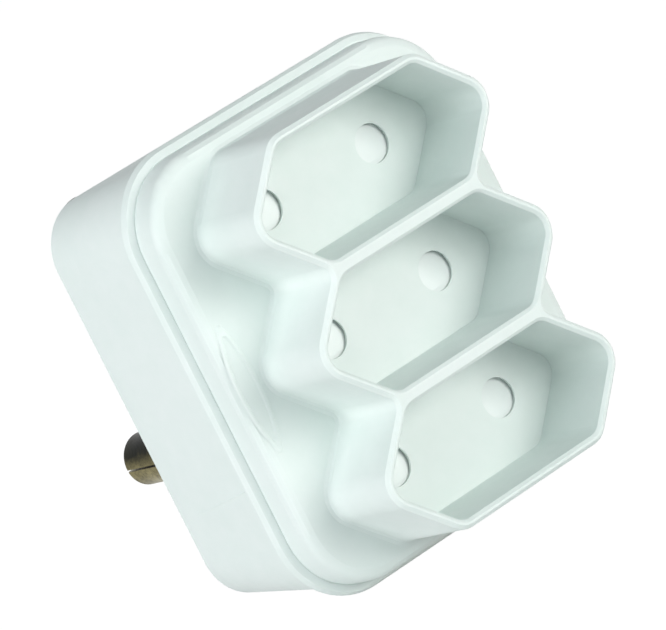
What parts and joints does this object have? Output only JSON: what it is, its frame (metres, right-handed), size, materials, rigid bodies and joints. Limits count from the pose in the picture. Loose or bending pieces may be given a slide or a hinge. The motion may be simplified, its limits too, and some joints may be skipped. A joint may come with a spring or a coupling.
{
  "type": "multi socket adapter",
  "caption": "Plug-in wall adapter with shuttered six-sided round-pin sockets in raised shrouds on a rounded white housing, and split brass pins behind.",
  "frame": {"origin": "centre of the housing's flat back, in the plane of the wall outlet", "axes": "+Y along the pins into the wall, so the sockets face -Y; +Z along the row of sockets towards the earth pin; +X along each socket, from its line hole to its neutral hole"},
  "size_m": [0.0538, 0.0653, 0.0614],
  "materials": {
    "white_shell": "satin moulded",
    "white_shutter": "smooth moulded",
    "white_plate": "plain moulded",
    "pin_brass": "turned, tarnished",
    "contact_brass": "stamped",
    "spring_steel": "drawn wire",
    "screw_steel": "zinc plated"
  },
  "bodies": {
    "housing": {"front_cover": "white_shell", "rear_housing": "white_shell", "earth_pin": "pin_brass", "shutter_retainer": "white_plate", "line_pin": "pin_brass", "neutral_pin": "pin_brass", "line_busbar": "contact_brass", "neutral_busbar": "contact_brass", "contact_clip_line_upper": "contact_brass", "contact_clip_line_middle": "contact_brass", "contact_clip_line_lower": "contact_brass", "contact_clip_neutral_upper": "contact_brass", "contact_clip_neutral_middle": "contact_brass", "contact_clip_neutral_lower": "contact_brass", "shutter_spring_upper": "spring_steel", "shutter_spring_middle": "spring_steel", "shutter_spring_lower": "spring_steel", "cover_screw_1": "screw_steel", "cover_screw_2": "screw_steel"},
    "shutter_upper": {"shutter_upper": "white_shutter"},
    "shutter_middle": {"shutter_middle": "white_shutter"},
    "shutter_lower": {"shutter_lower": "white_shutter"}
  },
  "joints": [
    {"name": "shutter_upper_slide", "type": "slide", "parent": "housing", "child": "shutter_upper", "axis": [0, 0, -1], "range_m": [0, 0.0056], "stiffness_N_per_m": 60, "springref_m": -0.004, "deforming": ["shutter_spring_upper"]},
    {"name": "shutter_middle_slide", "type": "slide", "parent": "housing", "child": "shutter_middle", "axis": [0, 0, -1], "range_m": [0, 0.0056], "stiffness_N_per_m": 60, "springref_m": -0.004, "deforming": ["shutter_spring_middle"]},
    {"name": "shutter_lower_slide", "type": "slide", "parent": "housing", "child": "shutter_lower", "axis": [0, 0, -1], "range_m": [0, 0.0056], "stiffness_N_per_m": 60, "springref_m": -0.004, "deforming": ["shutter_spring_lower"]}
  ]
}
